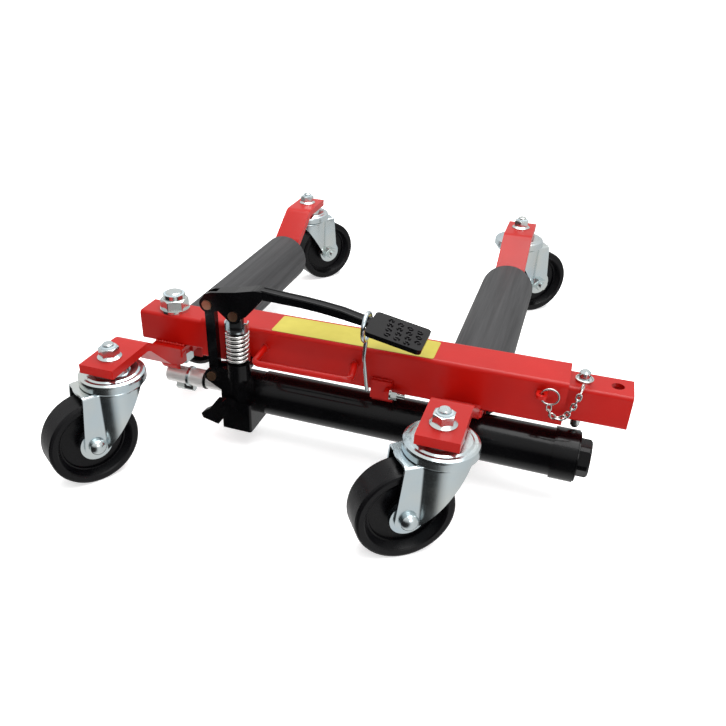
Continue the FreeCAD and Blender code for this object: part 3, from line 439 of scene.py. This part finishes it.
def label():
    """Plain yellow label on the beam's top, with rounded corners and no print."""
    bm = bmesh.new()
    x0, x1, y0, y1 = 88, 272, -22, 18
    z, corner, thick = BEAM_TOP + 0.02, 3, 0.18
    outline = []
    for cx, cy, start in ((x1 - corner, y1 - corner, 0), (x0 + corner, y1 - corner, 90),
                          (x0 + corner, y0 + corner, 180), (x1 - corner, y0 + corner, 270)):
        for k in range(7):
            a = math.radians(start + 15 * k)
            outline.append((cx + corner * math.cos(a), cy + corner * math.sin(a)))
    low = [bm.verts.new(at(x, y, z)) for x, y in outline]
    high = [bm.verts.new(at(x, y, z + thick)) for x, y in outline]
    bm.faces.new(low[::-1])
    bm.faces.new(high)
    for k in range(len(outline)):
        n = (k + 1) % len(outline)
        bm.faces.new((low[k], low[n], high[n], high[k]))
    piece("plain_label", bm, "label_yellow", "frame")


def weld(name, body, points, radius, seed):
    """A lumpy painted weld bead along points in millimetres; seed shifts its lumps."""
    bm = bmesh.new()
    spacing, lump_height, lump_share = 0.8, 0.16, 0.14
    path, radii = [], []
    for a, b in zip(points, points[1:]):
        steps = max(int((Vector(b) - Vector(a)).length / spacing), 2)
        for k in range(steps):
            spot = Vector(a).lerp(Vector(b), k / steps)
            n = len(path)
            wave = math.sin(n * 1.25 + seed) + 0.5 * math.sin(n * 0.53 + 2 * seed)
            path.append(at(*spot) + Vector((0, 0, lump_height * wave)) * MM)
            radii.append(radius * (1 + lump_share * wave) * MM)
    sweep(bm, path, radii, sides=12)
    piece(name, bm, "red_paint", body, 70)


def welds():
    """Beads where brackets, lugs and the handle meet the tubes: name, body, radius and points."""
    beads = (
        ("left_foot", "inner_slide", 2.0, [(-67, -19.4, 97.4), (-27.5, -19.4, 97.4)]),
        ("left_foot_edge", "inner_slide", 1.6, [(-27.4, -19, 91.8), (-27.4, -27, 91.6), (-27.4, -29, 86)]),
        ("ram_lug", "inner_slide", 1.4, [(-58, -29.6, 77), (-36, -29.6, 77)]),
        ("right_foot", "frame", 2.2, [(326.6, -24, 92.5), (326.6, -27, 86), (326.6, -10, 82.5)]),
        ("right_foot_top", "frame", 1.8, [(285, -26.5, 96), (326, -26.5, 96)]),
        ("arm_plate", "frame", 1.8, [(284, 26.2, 126.8), (328, 26.2, 126.8)]),
        ("arm_side", "frame", 1.8, [(328.6, 26.2, 126), (328.6, 26.2, 94)]),
        ("lug", "frame", 1.3, [(208, -26.2, 107.4), (232, -26.2, 107.4)]),
        ("handle_left", "frame", 1.5, [(78, -25.4, 117), (82, -25.4, 123.6), (87, -25.4, 117)]),
        ("handle_right", "frame", 1.5, [(184, -25.4, 117), (188, -25.4, 123.6), (193, -25.4, 117)]),
        ("chain_eye", "frame", 1.2, [(377, -25.6, 124.8), (389.5, -25.6, 124.8)]),
    )
    for seed, (name, body, radius, points) in enumerate(beads, 1):
        weld("weld_" + name, body, points, radius, seed)


def turned(name, look, slot_name, body, centre, axis, profile):
    """A turned ring as a piece of its own."""
    bm = bmesh.new()
    lathe(bm, profile, centre, axis)
    return piece(name, bm, look, body)


def ram_foot():
    """Rounded foot between the left bracket and the ram rod, with eased ends."""
    bm = bmesh.new()
    profile = [(-29.2, 77.2), (-28.6, 73.0), (-26.6, 69.0), (-24.0, 66.2), (-21.6, 64.6), (-19.6, 63.0),
               (-19.6, 77.2)]
    stations = [(-58.0, 0.86), (-57.0, 0.96), (-55.5, 1.0), (-38.5, 1.0), (-37.0, 0.96), (-36.0, 0.86)]
    rings = []
    for x, share in stations:
        rings.append([bm.verts.new(at(x, -19.6 + (y + 19.6) * share, 77.2 + (z - 77.2) * share))
                      for y, z in profile])
    for low, high in zip(rings, rings[1:]):
        for k in range(len(profile)):
            n = (k + 1) % len(profile)
            bm.faces.new((low[k], low[n], high[n], high[k]))
    bm.faces.new(rings[0][::-1])
    bm.faces.new(rings[-1])
    obj = piece("ram_lug_foot", bm, "red_paint", "inner_slide")
    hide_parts("ram_lug")


def small_rings():
    """Nylon inserts of the lock nuts, the rod's dark gland ring and the raised ring of the end plug."""
    turned("pivot_nut_insert", "nylon", "zinc", "inner_slide", at(-48, 0, 156.0), (0, 0, 1),
           [(10.1, 0), (12.2, 0), (11.8, 0.5), (10.5, 0.6), (10.1, 0.3)])
    spots = {"frame": [(306, -134), (306, 444)], "inner_slide": [(-48, -137)], "left_arm": [(-48, 447)]}
    for body, places in spots.items():
        for i, (x, y) in enumerate(places):
            turned(f"{body}_nut_insert_{i}", "nylon", "zinc", body, at(x, y, 151.0), (0, 0, 1),
                   [(6.1, 0), (8.0, 0), (7.7, 1.2), (6.8, 1.7), (6.1, 1.3)])
    turned("rod_gland", "black_paint", "black_paint", "inner_slide", at(-3.6, ROD_Y, ROD_Z), (1, 0, 0),
           [(10.55, 0), (11.6, 0), (11.9, 1.0), (11.9, 2.4), (11.4, 3.4), (10.55, 3.4)])
    turned("rod_sleeve", "chrome", "chrome", "inner_slide", at(-20, ROD_Y, ROD_Z), (1, 0, 0),
           [(10.54, 0), (11.1, 0), (11.35, 0.4), (11.35, 15.6), (11.0, 16), (10.54, 16)])
    turned("cylinder_end_ring", "black_paint", "black_paint", "frame", at(427.6, ROD_Y, ROD_Z), (1, 0, 0),
           [(20.3, 0), (25.0, 0), (26.2, 0.4), (26.0, 1.6), (24.0, 2.0), (20.3, 2.0)])


nodes["plunger"].data.materials[0] = looks["dark_steel"]
spring()
chain()
pad_tread()
arm_ribs()
label()
welds()
ram_foot()
small_rings()


# ---------------------------------------------------------------- stage

def floor():
    mesh = bpy.data.meshes.new("floor")
    half = FLOOR_HALF
    corners = [(-half, -half, 0), (half, -half, 0), (half, half, 0), (-half, half, 0)]
    mesh.from_pydata(corners, [], [(0, 1, 2, 3)])
    obj = bpy.data.objects.new("floor", mesh)
    bpy.context.collection.objects.link(obj)
    m = Shader("pale_floor", (0.9, 0.9, 0.9), 0.8, specular=0.1)
    m.set("Emission Color", (1, 1, 1, 1))
    m.set("Emission Strength", 0.5)
    mesh.materials.append(m.material)
    obj.visible_glossy = False


def backdrop():
    """Plain pale surround behind the floor. Only the camera sees it."""
    bm = bmesh.new()
    bmesh.ops.create_uvsphere(bm, u_segments=48, v_segments=24, radius=BACKDROP_RADIUS)
    mesh = bpy.data.meshes.new("backdrop")
    bm.to_mesh(mesh)
    bm.free()
    obj = bpy.data.objects.new("backdrop", mesh)
    bpy.context.collection.objects.link(obj)
    m = Shader("pale_backdrop", (0.0, 0.0, 0.0), 1.0, specular=0.0)
    m.set("Emission Color", (1, 1, 1, 1))
    m.set("Emission Strength", 1.0)
    mesh.materials.append(m.material)
    obj.visible_diffuse = obj.visible_glossy = obj.visible_transmission = obj.visible_shadow = False


def light(name, kind, energy, position, target, size):
    """A lamp aimed at target; size is a sun's angle in degrees or an area's two sides in metres."""
    data = bpy.data.lights.new(name, kind)
    data.energy = energy
    if kind == "AREA":
        data.shape = "RECTANGLE"
        data.size, data.size_y = size
    else:
        data.angle = math.radians(size)
    obj = bpy.data.objects.new(name, data)
    obj.location = position
    obj.rotation_mode = "QUATERNION"
    obj.rotation_quaternion = (Vector(target) - Vector(position)).to_track_quat("-Z", "Y")
    bpy.context.collection.objects.link(obj)


def world():
    """Studio that is brighter with height and has a dark side low down, in front of the beam."""
    w = bpy.data.worlds.new("studio")
    bpy.context.scene.world = w
    w.use_nodes = True
    tree = w.node_tree
    background = tree.nodes["Background"]
    coords = tree.nodes.new("ShaderNodeTexCoord")
    split = tree.nodes.new("ShaderNodeSeparateXYZ")
    tree.links.new(coords.outputs["Generated"], split.inputs["Vector"])

    def spread(value, stops):
        """Greys over a value that runs from -1 to 1."""
        scaled = tree.nodes.new("ShaderNodeMapRange")
        scaled.inputs["From Min"].default_value = -1
        scaled.inputs["From Max"].default_value = 1
        tree.links.new(value, scaled.inputs["Value"])
        ramp = tree.nodes.new("ShaderNodeValToRGB")
        tree.links.new(scaled.outputs["Result"], ramp.inputs["Fac"])
        elements = ramp.color_ramp.elements
        while len(elements) < len(stops):
            elements.new(0.5)
        for element, (place, value) in zip(elements, stops):
            element.position = place
            element.color = (value, value, value, 1)
        return ramp.outputs["Color"]

    towards = tree.nodes.new("ShaderNodeVectorMath")
    towards.operation = "DOT_PRODUCT"
    towards.inputs[1].default_value = (-0.46, -0.89, 0)
    tree.links.new(coords.outputs["Generated"], towards.inputs[0])
    sides = spread(towards.outputs["Value"],
                   [(0.0, 0.9), (0.62, 1.1), (0.74, 0.75), (0.82, 0.05), (1.0, 0.02)])
    heights = spread(split.outputs["Z"],
                     [(0.0, 0.0), (0.56, 0.0), (0.66, 0.45), (0.80, 0.85), (1.0, 1.0)])
    mix = tree.nodes.new("ShaderNodeMix")
    mix.data_type = "RGBA"
    tree.links.new(heights, mix.inputs["Factor"])
    tree.links.new(sides, next(i for i in mix.inputs if i.identifier == "A_Color"))
    next(i for i in mix.inputs if i.identifier == "B_Color").default_value = (1.25, 1.25, 1.25, 1)
    tree.links.new(next(o for o in mix.outputs if o.identifier == "Result_Color"), background.inputs["Color"])
    background.inputs["Strength"].default_value = 0.7


def camera():
    """The photo's camera, as it was solved from the photo."""
    data = bpy.data.cameras.new("camera")
    data.lens, data.sensor_width = 36.08, 36.0
    data.shift_x, data.shift_y = 0.0944, 0.0029
    data.clip_start, data.clip_end = 0.05, 100
    obj = bpy.data.objects.new("camera", data)
    yaw, pitch, roll = math.radians(-22.03), math.radians(29.5), math.radians(-0.37)
    forward = Vector((math.sin(yaw) * math.cos(pitch), math.cos(yaw) * math.cos(pitch), -math.sin(pitch)))
    right = Vector((math.cos(yaw), -math.sin(yaw), 0))
    up = right.cross(forward)
    side = math.cos(roll) * right + math.sin(roll) * up
    top = math.cos(roll) * up - math.sin(roll) * right
    turn = Matrix((side, top, -forward)).transposed()
    obj.matrix_world = Matrix.Translation(at(386.1, -689.2, 509.0)) @ turn.to_4x4()
    bpy.context.collection.objects.link(obj)
    bpy.context.scene.camera = obj


floor()
backdrop()
world()
light("key_sun", "SUN", 1.3, (0.5, -0.25, 2.0), (0, 0, 0), 40)
light("top_box", "AREA", 22, (0.0, 0.5, 1.7), (0, 0, 0), (1.6, 1.2))
light("front_box", "AREA", 6, (1.3, -1.5, 1.1), (0, -0.1, 0.1), (1.0, 0.8))
camera()
bpy.context.scene.view_settings.view_transform = "Standard"
